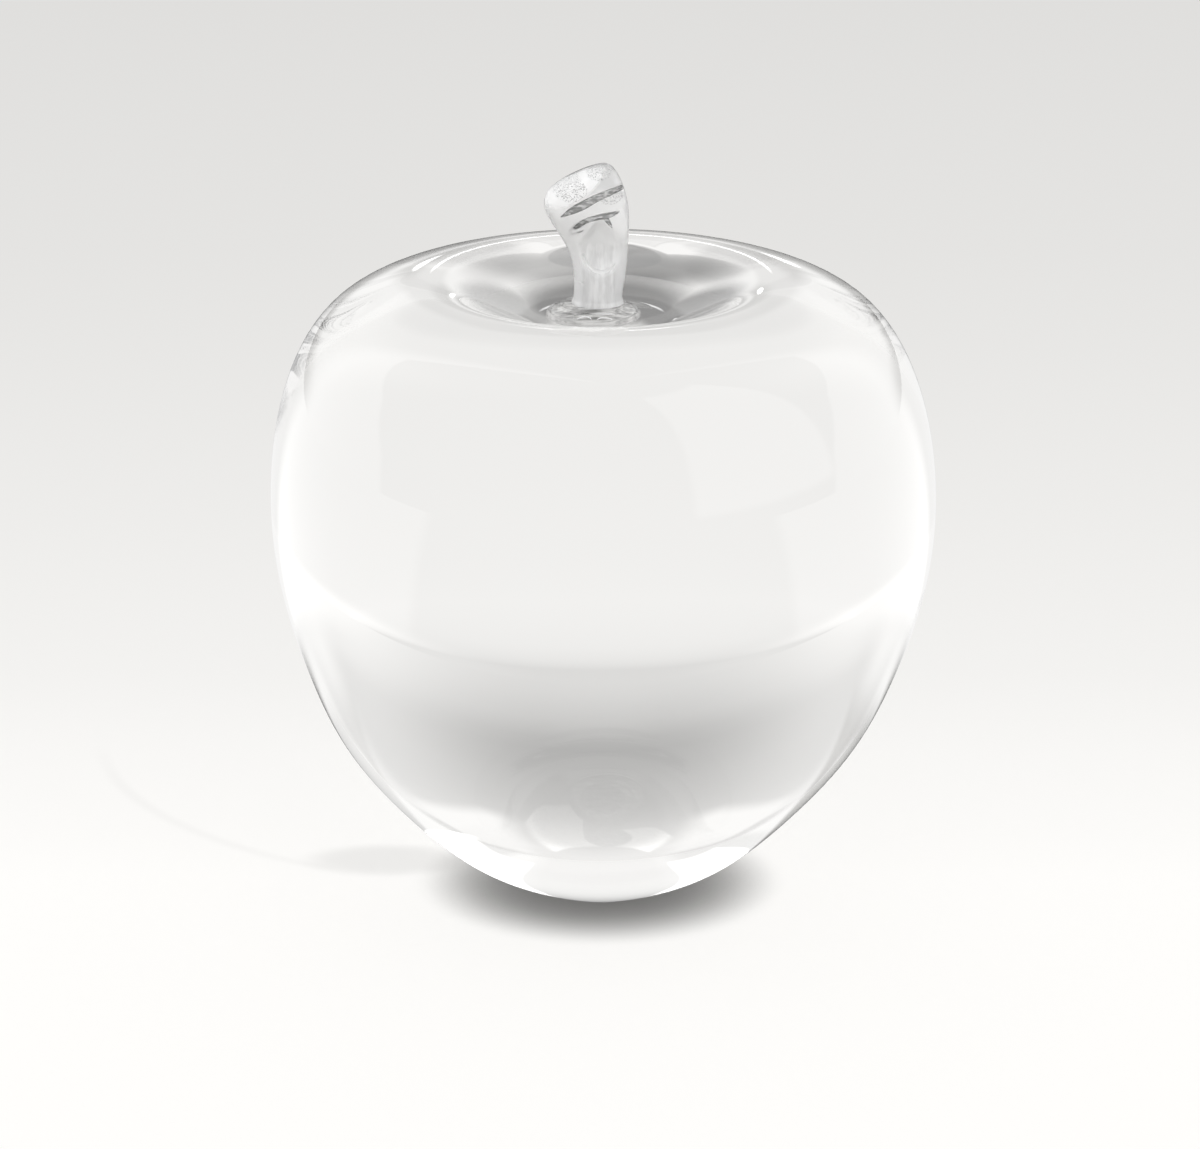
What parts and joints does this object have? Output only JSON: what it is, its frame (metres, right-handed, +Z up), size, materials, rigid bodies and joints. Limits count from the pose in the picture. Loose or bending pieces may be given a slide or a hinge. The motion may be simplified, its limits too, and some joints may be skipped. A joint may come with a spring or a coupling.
{
  "type": "glass apple ornament",
  "caption": "Clear solid glass apple with a shallow dimple, a fused glass pad and a leaning, sheared glass stalk; stands on a small ground foot.",
  "frame": {"origin": "centre of the ground flat foot, on the surface that the apple stands on", "axes": "+Z up through the stalk's dimple; -Y towards the viewer who sees the stalk lean left; +X to that viewer's right"},
  "size_m": [0.089, 0.089, 0.1003],
  "materials": {
    "clear_glass": "polished clear",
    "tooled_glass": "fire-polished with tool marks"
  },
  "bodies": {
    "root": {"apple_body": "clear_glass", "stem_pad": "clear_glass", "stem": "tooled_glass"}
  },
  "joints": []
}
